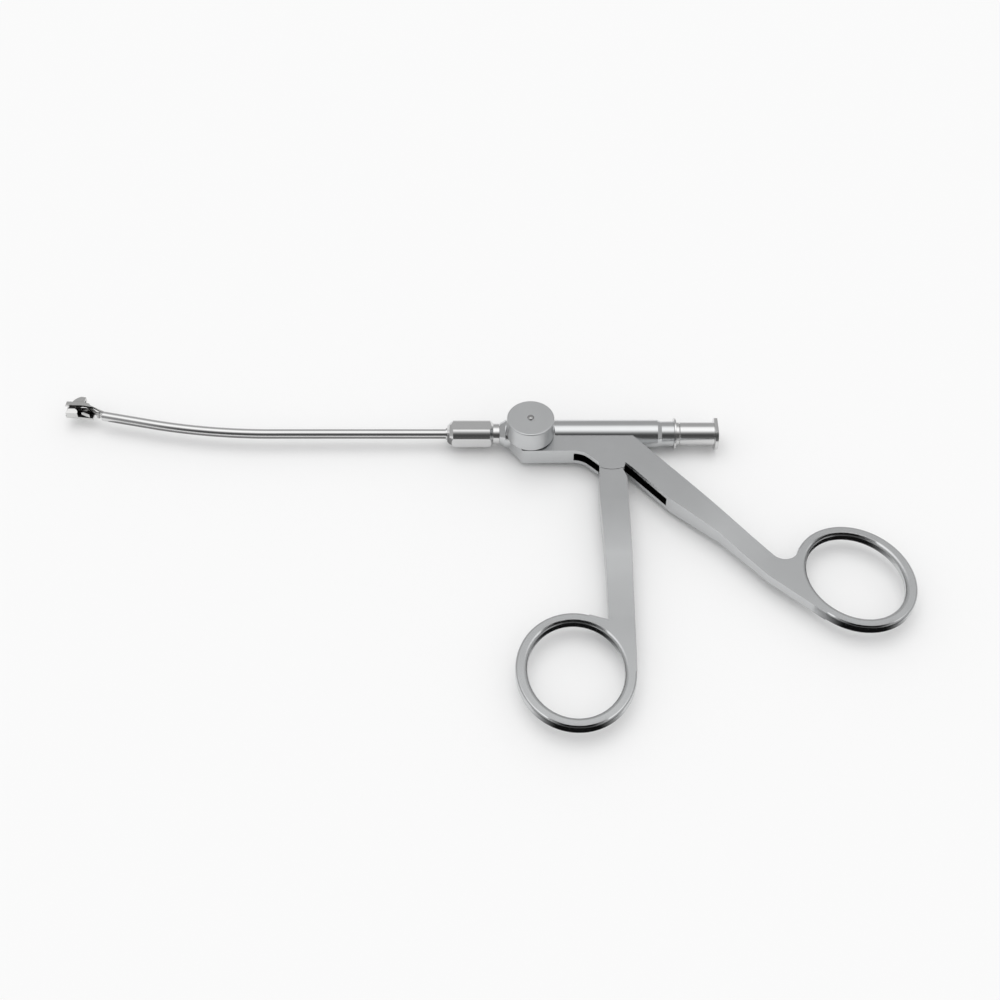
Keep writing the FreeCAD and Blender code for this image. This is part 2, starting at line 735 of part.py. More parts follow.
def make_rod_end_pin():
    half = rod_end_width / 2
    return post(rod_end, small_pin_diameter, -half, half)


def make_front_rod():
    back_length = sheath_end_straight + rod_end_lead - rod_joint_gap
    half = rod_end_width / 2
    shaft = Part.makeCylinder(front_rod_diameter / 2, back_length - rod_end_back + slide_fit,
                              rod_end - tip_axis * back_length, tip_axis)
    side = Vec(-tip_axis.y, tip_axis.x, 0) * front_rod_diameter / 2
    ear_back = rod_end - tip_axis * rod_end_back
    ear = prism([ear_back - side, ear_back + side, rod_end + side, rod_end - side], -half, half)
    head = ear.fuse(post(rod_end, front_rod_diameter, -half, half))
    body = shaft.fuse(head)
    gate = post(rod_end, 2 * (link_eye_radius + link_room), -link_slot / 2, link_slot / 2)
    body = body.cut(gate)
    link_turn = math.degrees(math.atan2(crank.y - rod_end.y, crank.x - rod_end.x))
    for swing in (-8, 0, 5):
        slot = Part.makeBox(link_gate_length, link_width + 0.2, link_slot,
                            Vec(0, -link_width / 2 - 0.1, -link_slot / 2))
        slot.rotate(Vec(0, 0, 0), Vec(0, 0, 1), link_turn + swing)
        slot.translate(rod_end)
        body = body.cut(slot)
    body = body.cut(post(rod_end, small_pin_diameter, -1, 1))
    return body.removeSplitter()


def make_bend_rod():
    margin = rod_joint_gap / sheath_bend_radius
    a = bend_centre + Vec(-math.sin(margin), -math.cos(margin), 0) * sheath_bend_radius
    m = bend_centre + Vec(-math.sin(bend / 2), -math.cos(bend / 2), 0) * sheath_bend_radius
    b = bend_centre + Vec(-math.sin(bend - margin), -math.cos(bend - margin), 0) * sheath_bend_radius
    return pipe(Part.Wire([arc(a, m, b)]), bend_rod_diameter)


def ferrule(start, direction, rod_size):
    """A sleeve: tight on a straight rod, free round the springy one."""
    sleeve = Part.makeCylinder(ferrule_diameter / 2, ferrule_length, start, direction)
    tight = Part.makeCylinder(rod_size / 2, ferrule_length / 2, start, direction)
    loose = Part.makeCylinder(bend_rod_diameter / 2 + ferrule_clearance, ferrule_length, start, direction)
    return sleeve.cut(tight).cut(loose)


def make_rear_ferrule():
    return ferrule(Vec(bend_x + ferrule_length / 2, 0, 0), Vec(-1, 0, 0), rod_diameter)


def make_front_ferrule():
    return ferrule(bend_end + tip_axis * ferrule_length / 2, tip_axis * -1, front_rod_diameter)


def bush_front():
    return body_rear_x - port_thread_length - bush_gap - bush_length


def make_rear_rod():
    return rod(bend_x + rod_joint_gap, bush_front() + rod_guide_reach, rod_diameter)


def make_drive_spool():
    outer = spool_diameter / 2
    core = spool_core_diameter / 2
    inner = rod_diameter / 2
    a = spool_x - spool_length / 2
    b = a + spool_flange
    c = b + spool_gap
    d = c + spool_flange
    return turned([(a, inner), (a, outer), (b, outer), (b, core), (c, core), (c, outer), (d, outer),
                   (d, inner)])


def make_spool_nut():
    start = spool_x + spool_length / 2
    radius = nut_width / 2 / math.cos(math.radians(30))
    points = []
    for corner in range(6):
        turn = math.radians(60 * corner)
        points.append(Vec(start, radius * math.cos(turn), radius * math.sin(turn)))
    nut = Part.Face(Part.makePolygon(points + [points[0]])).extrude(Vec(nut_length, 0, 0))
    return nut.cut(rod(start - 1, start + nut_length + 1, rod_diameter))


def make_rod_guide_bush():
    start = bush_front()
    end = start + bush_length
    bush = rod(start, end, chamber_diameter).cut(rod(start - 1, end + 1, rod_diameter + 2 * slide_fit))
    for flute in range(bush_flutes):
        turn = 2 * math.pi * (flute + 0.5) / bush_flutes
        radius = chamber_diameter / 2
        foot = Vec(start - 1, radius * math.cos(turn), radius * math.sin(turn))
        groove = Part.makeCylinder(bush_flute_radius, bush_length + 2, foot, Vec(1, 0, 0))
        bush = bush.cut(groove)
    return bush


def make_port_washer():
    inner = port_thread_diameter / 2 + running
    outer = port_washer_diameter / 2
    return turned([(body_rear_x, inner), (body_rear_x, outer), (washer_x, outer), (washer_x, inner)])


def make_port_connector():
    barrel = port_barrel_diameter / 2
    flange = port_flange_diameter / 2
    thread = port_thread_diameter / 2
    mouth = port_socket_diameter / 2
    throat = mouth - port_socket_depth * port_socket_taper / 2
    bore = port_bore_diameter / 2
    groove = -port_groove_offset
    connector = turned([(body_rear_x - port_thread_length, bore), (body_rear_x - port_thread_length, thread),
                        (washer_x, thread), (washer_x, barrel), (groove - port_groove_width / 2, barrel),
                        (groove, barrel - port_groove_depth), (groove + port_groove_width / 2, barrel),
                        (-port_flange_length, barrel), (-port_flange_length + 0.15, flange),
                        (0, flange), (0, mouth), (-port_socket_depth, throat), (-port_socket_depth, bore)])
    for side in (-1, 1):
        corner = Vec(-1.5, -port_flange_diameter / 2, port_flange_width / 2)
        flat = Part.makeBox(2, port_flange_diameter, 2, corner)
        if side < 0:
            flat.rotate(Vec(0, 0, 0), Vec(1, 0, 0), 180)
        connector = connector.cut(flat)
    return connector


PARTS = {
    "handle_frame": make_handle_frame,
    "finger_lever": make_finger_lever,
    "lever_pivot_pin": make_lever_pivot_pin,
    "lock_knob": make_lock_knob,
    "lock_screw": make_lock_screw,
    "rotation_collar": make_rotation_collar,
    "spigot_seal": make_spigot_seal,
    "rod_seal": make_rod_seal,
    "seal_gland": make_seal_gland,
    "sheath_tube": make_sheath_tube,
    "jaw_yoke": make_jaw_yoke,
    "jaw_pivot_pin": make_jaw_pivot_pin,
    "punch_jaw": make_punch_jaw,
    "drive_link": make_drive_link,
    "crank_pin": make_crank_pin,
    "rod_end_pin": make_rod_end_pin,
    "front_rod": make_front_rod,
    "bend_rod": make_bend_rod,
    "front_ferrule": make_front_ferrule,
    "rear_ferrule": make_rear_ferrule,
    "rear_rod": make_rear_rod,
    "drive_spool": make_drive_spool,
    "spool_nut": make_spool_nut,
    "rod_guide_bush": make_rod_guide_bush,
    "port_washer": make_port_washer,
    "port_connector": make_port_connector,
}

for name, make in PARTS.items():
    shape = make()
    shape.exportStep("parts/" + name + ".step")
    print(name, "solids", len(shape.Solids), "valid", shape.isValid(), "volume", round(shape.Volume, 2))
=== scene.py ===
import bpy
import math
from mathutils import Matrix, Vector


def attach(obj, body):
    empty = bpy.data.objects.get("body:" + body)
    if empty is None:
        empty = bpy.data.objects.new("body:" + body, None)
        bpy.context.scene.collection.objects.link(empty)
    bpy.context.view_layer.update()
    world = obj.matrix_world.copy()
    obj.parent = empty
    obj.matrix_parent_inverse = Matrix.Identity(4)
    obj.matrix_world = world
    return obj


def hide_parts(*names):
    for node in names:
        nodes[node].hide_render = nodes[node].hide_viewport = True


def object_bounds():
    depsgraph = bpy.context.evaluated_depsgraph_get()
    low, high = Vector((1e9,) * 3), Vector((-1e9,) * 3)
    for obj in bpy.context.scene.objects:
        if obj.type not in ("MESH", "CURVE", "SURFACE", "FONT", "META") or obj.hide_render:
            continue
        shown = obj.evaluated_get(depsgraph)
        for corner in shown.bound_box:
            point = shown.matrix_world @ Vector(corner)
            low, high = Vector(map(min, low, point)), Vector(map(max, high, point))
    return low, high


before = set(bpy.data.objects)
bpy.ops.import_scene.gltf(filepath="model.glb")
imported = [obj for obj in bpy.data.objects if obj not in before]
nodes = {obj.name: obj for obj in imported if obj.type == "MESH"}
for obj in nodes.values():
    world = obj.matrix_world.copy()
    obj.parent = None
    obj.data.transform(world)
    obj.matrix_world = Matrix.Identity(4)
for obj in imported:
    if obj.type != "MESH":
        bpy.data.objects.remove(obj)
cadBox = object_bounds()
mm = 0.001
print("frame loaded", len(nodes), "nodes")


def linkObject(name, data):
    thing = bpy.data.objects.new(name, data)
    bpy.context.scene.collection.objects.link(thing)
    return thing


def flatCard(name, corners, faces=None):
    mesh = bpy.data.meshes.new(name)
    mesh.from_pydata(corners, [], faces or [tuple(range(len(corners)))])
    return linkObject(name, mesh)


def newMaterial(name):
    material = bpy.data.materials.new(name)
    material.use_nodes = True
    tree = material.node_tree
    tree.nodes.clear()
    shader = tree.nodes.new("ShaderNodeBsdfPrincipled")
    output = tree.nodes.new("ShaderNodeOutputMaterial")
    tree.links.new(shader.outputs["BSDF"], output.inputs["Surface"])
    return material, tree, shader


def grey(tone):
    return (tone, tone, tone, 1)


# A socket takes another node's output, a plain value, or nothing
def feed(tree, socket, value):
    if isinstance(value, bpy.types.NodeSocket):
        tree.links.new(value, socket)
    elif value is not None:
        socket.default_value = value


def mathNode(tree, operation, a, b=None):
    node = tree.nodes.new("ShaderNodeMath")
    node.operation = operation
    feed(tree, node.inputs[0], a)
    feed(tree, node.inputs[1], b)
    return node.outputs[0]


def mixNode(tree, factor, a, b, kind="FLOAT"):
    node = tree.nodes.new("ShaderNodeMix")
    node.data_type = kind
    first = {"FLOAT": 2, "RGBA": 6}[kind]  # a Mix node has one pair of inputs for each kind
    for place, value in ((0, factor), (first, a), (first + 1, b)):
        feed(tree, node.inputs[place], value)
    return node.outputs[first // 3]


def rangeNode(tree, value, given, wanted=(0, 1), kind="LINEAR"):
    node = tree.nodes.new("ShaderNodeMapRange")
    node.interpolation_type = kind
    node.inputs["From Min"].default_value, node.inputs["From Max"].default_value = given
    node.inputs["To Min"].default_value, node.inputs["To Max"].default_value = wanted
    feed(tree, node.inputs["Value"], value)
    return node.outputs["Result"]


def splitNode(tree, vector):
    node = tree.nodes.new("ShaderNodeSeparateXYZ")
    tree.links.new(vector, node.inputs[0])
    return node.outputs


# Camera: the photograph's viewpoint, level with the shaft and looking down at it
cameraSet = {"place": (-0.0522, -0.22699, 0.25008), "down": 50.5, "lens": 50.4, "sensor": 36.0,
             "rise": 0.0006, "near": 0.01, "far": 20}
cameraData = bpy.data.cameras.new("camera")
cameraData.lens = cameraSet["lens"]
cameraData.sensor_width = cameraSet["sensor"]
cameraData.shift_y = cameraSet["rise"]
cameraData.clip_start = cameraSet["near"]
cameraData.clip_end = cameraSet["far"]
camera = linkObject("camera", cameraData)
camera.location = cameraSet["place"]
camera.rotation_euler = (math.radians(90 - cameraSet["down"]), 0, 0)
bpy.context.scene.camera = camera

# Stage: a pale floor, a wide soft light from above and behind, and a surround for the steel to mirror
stageSet = {"floorSize": 40.0, "floorTone": 0.90, "floorRough": 0.9, "floorGap": 0.05,
            "lightFrom": (-0.1, 0.25, 0.9), "lightSpread": 58, "lightPower": 0.74,
            "surroundFill": 0.84, "surroundSeen": 0.94, "sideTone": 0.5, "sideRange": (0.42, 0.68)}
floorZ = cadBox[0].z - stageSet["floorGap"] * mm
half = stageSet["floorSize"] / 2
floor = flatCard("floor", [(x, y, floorZ) for x, y in ((-half, -half), (half, -half), (half, half), (-half, half))])
floorPaint, tree, shader = newMaterial("paleFloor")
shader.inputs["Base Color"].default_value = grey(stageSet["floorTone"])
shader.inputs["Roughness"].default_value = stageSet["floorRough"]
shader.inputs["Specular IOR Level"].default_value = 0.0
floor.data.materials.append(floorPaint)

softLight = bpy.data.lights.new("softLight", "SUN")
softLight.angle = math.radians(stageSet["lightSpread"])
softLight.energy = stageSet["lightPower"]
lamp = linkObject("softLight", softLight)
lamp.location = stageSet["lightFrom"]
lamp.rotation_euler = Vector(stageSet["lightFrom"]).to_track_quat("Z", "Y").to_euler()
lamp.visible_glossy = False

# The surround's tone by angle, in degrees from straight up, towards the camera's side where positive
surroundTones = [(-180, 0.70), (-110, 0.66), (-82, 0.50), (-50, 0.50), (-38, 0.55), (-30, 0.78), (-22, 1.22),
                 (-6, 1.42), (8, 1.42), (17, 1.15), (27, 0.66), (36, 0.32), (45, 0.13), (56, 0.08), (72, 0.10),
                 (84, 0.17), (96, 0.30), (180, 0.70)]
toneScale = 2.0  # a colour ramp holds no tone above 1
world = bpy.data.worlds.new("surround")
bpy.context.scene.world = world
world.use_nodes = True
world.cycles.sampling_method = "NONE"
tree = world.node_tree
tree.nodes.clear()
axes = splitNode(tree, tree.nodes.new("ShaderNodeTexCoord").outputs["Generated"])
angle = mathNode(tree, "ARCTAN2", mathNode(tree, "MULTIPLY", axes["Y"], -1), axes["Z"])
tones = tree.nodes.new("ShaderNodeValToRGB")
feed(tree, tones.inputs["Fac"], rangeNode(tree, angle, (-math.pi, math.pi)))
ramp = tones.color_ramp
ramp.interpolation = "EASE"
ramp.elements.remove(ramp.elements[1])
for degrees, tone in surroundTones:
    position = (degrees + 180) / 360
    stop = ramp.elements[0] if position == 0 else ramp.elements.new(position)
    stop.color = grey(tone / toneScale)
front = mathNode(tree, "MULTIPLY", tones.outputs["Color"], toneScale)
# Far to either side the surround is an even grey, so the plates stay light when they are seen from behind
sideways = rangeNode(tree, mathNode(tree, "ABSOLUTE", axes["X"]), stageSet["sideRange"], kind="SMOOTHSTEP")
mirrored = mixNode(tree, sideways, front, stageSet["sideTone"])
path = tree.nodes.new("ShaderNodeLightPath")
seen = mixNode(tree, path.outputs["Is Camera Ray"], stageSet["surroundFill"], stageSet["surroundSeen"])
background = tree.nodes.new("ShaderNodeBackground")
background.inputs["Color"].default_value = grey(1)
feed(tree, background.inputs["Strength"], mixNode(tree, path.outputs["Is Glossy Ray"], seen, mirrored))
worldOut = tree.nodes.new("ShaderNodeOutputWorld")
feed(tree, worldOut.inputs["Surface"], background.outputs[0])
bpy.context.scene.view_settings.view_transform = "Standard"

# Cards that only the steel mirrors, painting dark reflections into it; dark where their fade is 0
cardSet = {"dark": 0.01, "light": 0.85, "aboveFloor": 0.02}
cardZ = floorZ + cardSet["aboveFloor"] * mm
cardPaint, tree, shader = newMaterial("blackCard")
fade = tree.nodes.new("ShaderNodeAttribute")
fade.attribute_name = "fade"
shade = mixNode(tree, fade.outputs["Fac"], grey(cardSet["dark"]), grey(cardSet["light"]), "RGBA")
feed(tree, shader.inputs["Base Color"], shade)
shader.inputs["Roughness"].default_value = 1.0
shader.inputs["Specular IOR Level"].default_value = 0.0


def darkCard(name, corners, faces, fades):
    card = flatCard(name, corners, faces)
    card.data.attributes.new("fade", "FLOAT", "POINT").data.foreach_set("value", fades)
    card.data.materials.append(cardPaint)
    card.visible_camera = False
    card.visible_shadow = False
    card.visible_diffuse = False


# Painted dark reflections for the rings: cards below and beside the rings' near walls, and above their edges; a
# ring is its centre and its tilt
ringSet = {"centres": ((0.0264, -0.0432, -60), (-0.0362, -0.0674, -86)), "long": 13.0, "short": 11.5,
           "half": 1.3, "top": 1.2, "gap": 0.2, "reach": 3.0, "brow": 3.0, "browReach": (-1.6, 3.4),
           "spread": 54, "browSpread": 34, "steps": 40, "fadeFrom": 0.45, "fadePower": 1.5}


def ovalPoint(ring, grow, bearing, z):
    x, y, tilt = ring
    turn = math.radians(bearing - tilt)
    a = (ringSet["long"] + grow) * math.cos(turn) * mm
    b = (ringSet["short"] + grow) * math.sin(turn) * mm
    c, s = math.cos(math.radians(tilt)), math.sin(math.radians(tilt))
    return Vector((x + a * c - b * s, y + a * s + b * c, z))


def ringCard(name, ring, rows, middle, spread):
    corners, faces, fades = [], [], []
    steps, width = ringSet["steps"], len(rows)
    for step in range(steps + 1):
        along = 2 * step / steps - 1
        corners += [ovalPoint(ring, grow, middle + spread * along, z) for grow, z in rows]
        outward = (abs(along) - ringSet["fadeFrom"]) / (1 - ringSet["fadeFrom"])
        fades += [max(0.0, outward) ** ringSet["fadePower"]] * width
    for step in range(steps):
        for row in range(width - 1):
            a = step * width + row
            faces.append((a, a + 1, a + 1 + width, a + width))
    darkCard(name, corners, faces, fades)


for number, ring in enumerate(ringSet["centres"]):
    high = ringSet["top"] * mm
    brow = (ringSet["top"] + ringSet["brow"]) * mm
    for side, sign, middle in (("inner", -1, 90), ("outer", 1, -90)):
        edge = sign * ringSet["half"]
        near, far = edge + sign * ringSet["gap"], edge + sign * ringSet["reach"]
        troughRows = [(near, cardZ), (far, cardZ), (far, high)]
        ringCard(side + "Trough" + str(number), ring, troughRows, middle, ringSet["spread"])
        browRows = [(edge + sign * reach, brow) for reach in ringSet["browReach"]]
        ringCard(side + "Brow" + str(number), ring, browRows, middle, ringSet["browSpread"])
print("stage set, floor at", round(floorZ, 5))

# Finishes: each steel has its tone, its polish, a grain stretched along the piece, and a soft edge in mm
finishSet = {
    "satinSteel": {"tone": 0.62, "tint": (0.985, 1.0, 1.01), "rough": 0.24,
                   "grain": (60, 900, 900), "grainDepth": 0.06, "edge": 0.12},
    "knobSteel": {"tone": 0.62, "tint": (0.985, 1.0, 1.01), "rough": 0.36,
                  "grain": (600, 600, 60), "grainDepth": 0.04, "edge": 0.0},
    "brightSteel": {"tone": 0.68, "tint": (1.0, 1.0, 1.0), "rough": 0.12,
                    "grain": (900, 60, 60), "grainDepth": 0.02, "edge": 0.06},
    "tipSteel": {"tone": 0.66, "tint": (1.0, 1.0, 0.99), "rough": 0.16,
                 "grain": (300, 900, 900), "grainDepth": 0.03, "edge": 0.06},
    "pinSteel": {"tone": 0.64, "tint": (1.0, 1.0, 1.0), "rough": 0.20,
                 "grain": (600, 600, 600), "grainDepth": 0.02, "edge": 0.0},
    "driveSteel": {"tone": 0.64, "tint": (1.0, 1.0, 1.0), "rough": 0.18,
                   "grain": (80, 900, 900), "grainDepth": 0.03, "edge": 0.06},
}
steelSet = {"grainScale": 12, "grainDetail": 3, "cloudScale": 160, "cloudDetail": 4, "cloudTones": (0.95, 1.04),
            "roughTones": (0.8, 1.2), "bumpHeight": 0.02, "edgeSamples": 6}


def noiseNode(tree, vector, scale, detail=2):
    node = tree.nodes.new("ShaderNodeTexNoise")
    node.inputs["Scale"].default_value = scale
    node.inputs["Detail"].default_value = detail
    feed(tree, node.inputs["Vector"], vector)
    return node.outputs["Fac"]


def bumpNode(tree, height, normal=None, strength=1.0, distance=1.0):
    node = tree.nodes.new("ShaderNodeBump")
    node.inputs["Strength"].default_value = strength
    node.inputs["Distance"].default_value = distance
    feed(tree, node.inputs["Height"], height)
    feed(tree, node.inputs["Normal"], normal)
    return node.outputs["Normal"]


def fedBy(socket):
    return socket.links[0].from_socket if socket.links else None


def steel(name, look):
    material, tree, shader = newMaterial(name)
    coords = tree.nodes.new("ShaderNodeTexCoord").outputs["Object"]
    stretched = tree.nodes.new("ShaderNodeMapping")
    stretched.inputs["Scale"].default_value = look["grain"]
    feed(tree, stretched.inputs["Vector"], coords)
    grain = noiseNode(tree, stretched.outputs["Vector"], steelSet["grainScale"], steelSet["grainDetail"])
    cloud = noiseNode(tree, coords, steelSet["cloudScale"], steelSet["cloudDetail"])
    low, high = [(*[min(look["tone"] * t * tone, 1) for t in look["tint"]], 1) for tone in steelSet["cloudTones"]]
    feed(tree, shader.inputs["Base Color"], mixNode(tree, cloud, low, high, "RGBA"))
    polish = [look["rough"] * tone for tone in steelSet["roughTones"]]
    feed(tree, shader.inputs["Roughness"], rangeNode(tree, grain, (0, 1), polish))
    normal = None
    if look["edge"] > 0:
        edge = tree.nodes.new("ShaderNodeBevel")
        edge.samples = steelSet["edgeSamples"]
        edge.inputs["Radius"].default_value = look["edge"] * mm
        normal = edge.outputs["Normal"]
    height = steelSet["bumpHeight"] * mm
    feed(tree, shader.inputs["Normal"], bumpNode(tree, grain, normal, look["grainDepth"], height))
    shader.inputs["Metallic"].default_value = 1.0
    return material, tree, shader, coords


# A form given by the normals alone, under the grain
def shapeUnderGrain(tree, shader, height):
    grain = fedBy(shader.inputs["Normal"]).node
    feed(tree, grain.inputs["Normal"], bumpNode(tree, height, fedBy(grain.inputs["Normal"])))


def facingNode(tree):
    return splitNode(tree, tree.nodes.new("ShaderNodeNewGeometry").outputs["True Normal"])


finishes = {name: steel(name, look)[0] for name, look in finishSet.items()}

# The handle's steel: satin plates, a brighter turned tube, and a rough slot whose inward-facing walls get painted
# shade, a near-black colour
handleSet = {"tubeEdge": -3.0, "tubeRough": 0.13, "slotShadeTone": 0.012, "slotRough": 0.5, "slotDepth": 0.2}


def handleSteel(name):
    material, tree, shader, coords = steel(name, finishSet["satinSteel"])
    spot, facing = splitNode(tree, coords), facingNode(tree)
    onTube = mathNode(tree, "GREATER_THAN", spot["Y"], handleSet["tubeEdge"] * mm)
    outward = mathNode(tree, "MULTIPLY", spot["Z"], facing["Z"])
    inSlot = mathNode(tree, "LESS_THAN", outward, -handleSet["slotDepth"] * mm)
    rough = mixNode(tree, onTube, fedBy(shader.inputs["Roughness"]), handleSet["tubeRough"])
    feed(tree, shader.inputs["Roughness"], mixNode(tree, inSlot, rough, handleSet["slotRough"]))
    # Painted shade: the slot's inner walls take a near-black colour
    color = mixNode(tree, inSlot, fedBy(shader.inputs["Base Color"]), grey(handleSet["slotShadeTone"]), "RGBA")
    feed(tree, shader.inputs["Base Color"], color)
    return material


finishes["handleSteel"] = handleSteel("handleSteel")

# The lock screw's end: a small dome round the knob's axis
screwSet = {"axis": (-0.04495, -0.00215), "radius": 0.832, "steep": 1.3}


def screwSteel(name):
    material, tree, shader, coords = steel(name, finishSet["pinSteel"])
    centred = tree.nodes.new("ShaderNodeMapping")
    centred.inputs["Location"].default_value = (-screwSet["axis"][0], -screwSet["axis"][1], 0)
    feed(tree, centred.inputs["Vector"], coords)
    spot = splitNode(tree, centred.outputs["Vector"])
    reach = mathNode(tree, "ADD", *[mathNode(tree, "POWER", spot[axis], 2.0) for axis in ("X", "Y")])
    inside = mathNode(tree, "MAXIMUM", mathNode(tree, "SUBTRACT", (screwSet["radius"] * mm) ** 2, reach), 0.0)
    shapeUnderGrain(tree, shader, mathNode(tree, "MULTIPLY", mathNode(tree, "SQRT", inside), screwSet["steep"]))
    return material


finishes["screwSteel"] = screwSteel("screwSteel")

# The tip's steel: brighter, with painted shade in its crevices and on the side plate's inner face; the tooth's face
# leans
tipSet = {"crevice": 0.9, "depth": 1.6, "creviceShadeTone": 0.01, "samples": 8, "faceUp": 0.5, "plateTop": 8.25,
          "plateBottom": -0.5, "plateShade": 0.93, "toothTop": 7.75, "toothLean": 0.22}


def tipSteel(name, isJaw):
    material, tree, shader, coords = steel(name, finishSet["tipSteel"])
    # Painted shade: ambient occlusion darkens the colour in the tip's crevices
    hollow = tree.nodes.new("ShaderNodeAmbientOcclusion")
    hollow.samples = tipSet["samples"]
    hollow.inputs["Distance"].default_value = tipSet["crevice"] * mm
    shade = mathNode(tree, "POWER", hollow.outputs["AO"], tipSet["depth"])
    spot = splitNode(tree, coords)
    if isJaw:
        below = mathNode(tree, "SUBTRACT", spot["Y"], tipSet["toothTop"] * mm)
        below = mathNode(tree, "MINIMUM", below, 0.0)
        shapeUnderGrain(tree, shader, mathNode(tree, "MULTIPLY", below, tipSet["toothLean"]))
    else:
        # Painted shade: the side plate's upward-facing inner face is dimmed almost to black
        inner = mathNode(tree, "GREATER_THAN", facingNode(tree)["Z"], tipSet["faceUp"])
        for axis, edge in (("Z", "plateBottom"), ("Y", "plateTop")):
            inner = mathNode(tree, "MULTIPLY", inner, mathNode(tree, "LESS_THAN", spot[axis], tipSet[edge] * mm))
        dim = mathNode(tree, "SUBTRACT", 1.0, mathNode(tree, "MULTIPLY", inner, tipSet["plateShade"]))
        shade = mathNode(tree, "MULTIPLY", shade, dim)
    color = mixNode(tree, shade, grey(tipSet["creviceShadeTone"]), fedBy(shader.inputs["Base Color"]), "RGBA")
    feed(tree, shader.inputs["Base Color"], color)
    return material


finishes["tipSteel"] = tipSteel("tipSteel", False)
finishes["jawSteel"] = tipSteel("jawSteel", True)

plainSet = {"sealRubber": {"color": (0.03, 0.03, 0.032), "rough": 0.6},
            "bushPlastic": {"color": (0.82, 0.82, 0.80), "rough": 0.45}}
plainCloud = {"scale": 2500, "low": 0.85}


def plainFinish(name, look):
    material, tree, shader = newMaterial(name)
    coords = tree.nodes.new("ShaderNodeTexCoord").outputs["Object"]
    cloud = noiseNode(tree, coords, plainCloud["scale"])
    low = (*[c * plainCloud["low"] for c in look["color"]], 1)
    feed(tree, shader.inputs["Base Color"], mixNode(tree, cloud, low, (*look["color"], 1), "RGBA"))
    shader.inputs["Roughness"].default_value = look["rough"]
    return material


for name, look in plainSet.items():
    finishes[name] = plainFinish(name, look)

wears = {
    "handleSteel": ["handle_frame"],
    "satinSteel": ["finger_lever", "lever_pivot_pin"],
    "knobSteel": ["lock_knob"],
    "brightSteel": ["rotation_collar", "sheath_tube", "port_connector", "port_washer"],
    "tipSteel": ["jaw_yoke", "drive_link"],
    "jawSteel": ["punch_jaw"],
    "pinSteel": ["jaw_pivot_pin", "crank_pin", "rod_end_pin"],
    "screwSteel": ["lock_screw"],
    "driveSteel": ["front_rod", "bend_rod", "rear_rod", "front_ferrule", "rear_ferrule", "drive_spool",
                   "spool_nut", "seal_gland"],
    "sealRubber": ["spigot_seal", "rod_seal"],
    "bushPlastic": ["rod_guide_bush"],
}
for finish, names in wears.items():
    for name in names:
        nodes[name].data.materials.clear()
        nodes[name].data.materials.append(finishes[finish])
print("finishes on", sum(len(v) for v in wears.values()), "nodes")

# Sheath: one thin wall swept along straight, bend and straight
sheathSet = {"start": (-57.2, 0.0), "bendStart": -107.4, "bendRadius": 137.0, "bendAngle": 12.5, "endLength": 12.0,
             "outer": 1.18, "inner": 0.85, "stations": 120, "sides": 64, "merge": 0.002, "sharpEdge": 0.6}


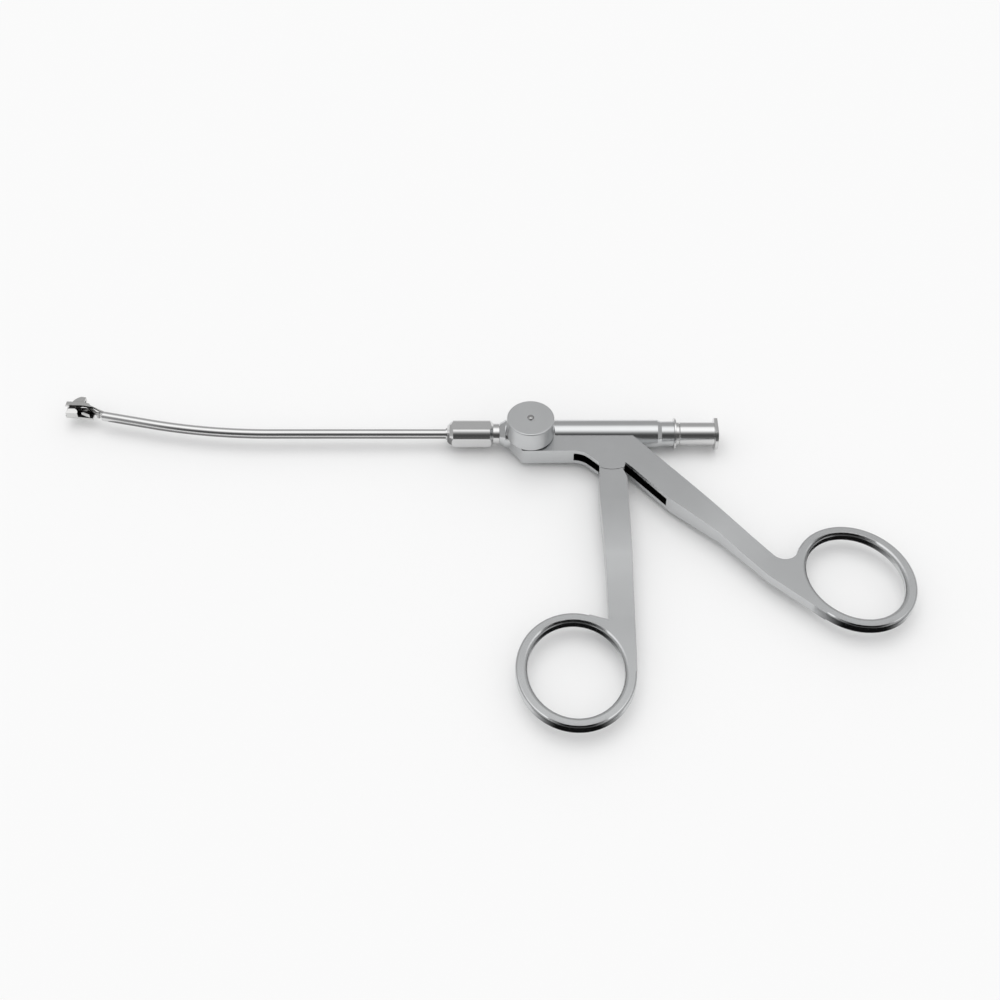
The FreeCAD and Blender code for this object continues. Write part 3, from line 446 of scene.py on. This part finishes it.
def sweptWallTree():
    tree = bpy.data.node_groups.new("sweptWall", "GeometryNodeTree")
    n, link = tree.nodes, tree.links.new
    sockets = [("Geometry", "INPUT", "Geometry"), ("Outer radius", "INPUT", "Float"),
               ("Inner radius", "INPUT", "Float"), ("Stations", "INPUT", "Int"), ("Sides", "INPUT", "Int"),
               ("Material", "INPUT", "Material"), ("Geometry", "OUTPUT", "Geometry")]
    for name, way, kind in sockets:
        tree.interface.new_socket(name, in_out=way, socket_type="NodeSocket" + kind)
    given, result = n.new("NodeGroupInput"), n.new("NodeGroupOutput")

    def number(operation, a, b=None):
        return mathNode(tree, operation, a, b)

    def vector(operation, a, b=None, scale=None):
        node = n.new("ShaderNodeVectorMath")
        node.operation = operation
        feed(tree, node.inputs[0], a)
        feed(tree, node.inputs[1], b)
        if scale is not None:
            link(scale, node.inputs["Scale"])
        return node.outputs[0]

    stations, sides = given.outputs["Stations"], given.outputs["Sides"]
    columns = number("ADD", sides, 1)
    twice = number("MULTIPLY", stations, 2)
    grid = n.new("GeometryNodeMeshGrid")
    link(number("ADD", twice, 1), grid.inputs["Vertices X"])
    link(columns, grid.inputs["Vertices Y"])
    index = n.new("GeometryNodeInputIndex").outputs[0]
    row = number("FLOOR", number("DIVIDE", number("ADD", index, 0.5), columns))
    column = number("SUBTRACT", index, number("MULTIPLY", row, columns))
    # Rows run out along the outer wall, back along the inner one, and close on the first
    onOuter = number("LESS_THAN", row, stations)
    last = number("GREATER_THAN", row, number("SUBTRACT", twice, 0.5))
    back = number("MULTIPLY", number("SUBTRACT", 1, onOuter), number("SUBTRACT", number("SUBTRACT", twice, 1), row))
    onward = number("ADD", number("MULTIPLY", onOuter, row), back)
    along = number("DIVIDE", number("MAXIMUM", onward, 0), number("SUBTRACT", stations, 1))
    outside = number("MAXIMUM", onOuter, last)
    radius = number("ADD", number("MULTIPLY", outside, given.outputs["Outer radius"]),
                    number("MULTIPLY", number("SUBTRACT", 1, outside), given.outputs["Inner radius"]))
    path = n.new("GeometryNodeSampleCurve")
    path.mode = "FACTOR"
    link(given.outputs["Geometry"], path.inputs["Curves"])
    link(along, path.inputs["Factor"])
    turn = number("DIVIDE", number("MULTIPLY", column, 2 * math.pi), sides)
    across = vector("CROSS_PRODUCT", path.outputs["Normal"], path.outputs["Tangent"])
    up = vector("SCALE", path.outputs["Normal"], scale=number("MULTIPLY", radius, number("COSINE", turn)))
    aside = vector("SCALE", across, scale=number("MULTIPLY", radius, number("SINE", turn)))
    place = n.new("GeometryNodeSetPosition")
    link(grid.outputs["Mesh"], place.inputs["Geometry"])
    link(vector("ADD", path.outputs["Position"], vector("ADD", up, aside)), place.inputs["Position"])
    merge = n.new("GeometryNodeMergeByDistance")
    merge.inputs["Distance"].default_value = sheathSet["merge"] * mm
    link(place.outputs["Geometry"], merge.inputs["Geometry"])
    corner = n.new("GeometryNodeInputMeshEdgeAngle")
    smooth = n.new("GeometryNodeSetShadeSmooth")
    smooth.domain = "EDGE"
    link(merge.outputs["Geometry"], smooth.inputs[0])
    link(number("LESS_THAN", corner.outputs[0], sheathSet["sharpEdge"]), smooth.inputs["Shade Smooth"])
    realize = n.new("GeometryNodeRealizeInstances")
    link(smooth.outputs[0], realize.inputs[0])
    paint = n.new("GeometryNodeSetMaterial")
    link(realize.outputs[0], paint.inputs["Geometry"])
    link(given.outputs["Material"], paint.inputs["Material"])
    link(paint.outputs[0], result.inputs[0])
    return tree


def sheathPath():
    turn = math.radians(sheathSet["bendAngle"])
    r = sheathSet["bendRadius"]
    onward, bent = Vector((-1, 0, 0)), Vector((-math.cos(turn), math.sin(turn), 0))
    bendStart = Vector((sheathSet["bendStart"], 0, 0))
    bendEnd = bendStart + Vector((-math.sin(turn) * r, r - math.cos(turn) * r, 0))
    stops = ((Vector((*sheathSet["start"], 0)), onward), (bendStart, onward), (bendEnd, bent),
             (bendEnd + bent * sheathSet["endLength"], bent))
    pull = 4 / 3 * math.tan(turn / 4) * r  # the handles' length that draws an arc
    curve = bpy.data.curves.new("sheathPath", "CURVE")
    curve.dimensions = "3D"
    curve.twist_mode = "Z_UP"
    curve.resolution_u = 48
    spline = curve.splines.new("BEZIER")
    spline.bezier_points.add(len(stops) - 1)
    for point, (spot, heading) in zip(spline.bezier_points, stops):
        point.co = spot * mm
        point.handle_left = (spot - heading * pull) * mm
        point.handle_right = (spot + heading * pull) * mm
    return linkObject("sheathPath", curve)


def makeSheath():
    guide = sheathPath()
    tree = sweptWallTree()
    sweep = guide.modifiers.new("sweep", "NODES")
    sweep.node_group = tree
    values = {"Outer radius": sheathSet["outer"] * mm, "Inner radius": sheathSet["inner"] * mm,
              "Stations": sheathSet["stations"], "Sides": sheathSet["sides"], "Material": finishes["brightSteel"]}
    for item in tree.interface.items_tree:
        if item.in_out == "INPUT" and item.name in values:
            sweep[item.identifier] = values[item.name]
    bpy.context.view_layer.update()
    mesh = bpy.data.meshes.new_from_object(guide.evaluated_get(bpy.context.evaluated_depsgraph_get()))
    guide.modifiers.remove(sweep)
    bpy.data.objects.remove(guide)
    mesh.name = "sheathTube"
    return linkObject("sheathTube", mesh)


sheath = makeSheath()
print("sheath swept,", len(sheath.data.polygons), "faces")
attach(sheath, "shaft")
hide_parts("sheath_tube")

# A grey card on the floor under the sheath, which only its lower edge mirrors: a painted darker reflection along
# that edge
underSet = {"from": -65.4, "near": 0.4, "far": -11.0, "steps": 24, "fade": 0.34}


def underPoint(aside, turn, along):
    r = sheathSet["bendRadius"] - aside
    x = sheathSet["bendStart"] - math.sin(turn) * r - math.cos(turn) * along
    y = sheathSet["bendRadius"] - math.cos(turn) * r + math.sin(turn) * along
    return (x * mm, y * mm, cardZ)


def underCard():
    bend, steps = math.radians(sheathSet["bendAngle"]), underSet["steps"]
    stops = [(0.0, sheathSet["bendStart"] - underSet["from"])]
    stops += [(bend * step / steps, 0.0) for step in range(steps + 1)]
    stops += [(bend, sheathSet["endLength"])]
    corners = [underPoint(underSet[side], *stop) for stop in stops for side in ("near", "far")]
    faces = [(2 * a, 2 * a + 1, 2 * a + 3, 2 * a + 2) for a in range(len(stops) - 1)]
    darkCard("sheathCard", corners, faces, [underSet["fade"]] * len(corners))


underCard()
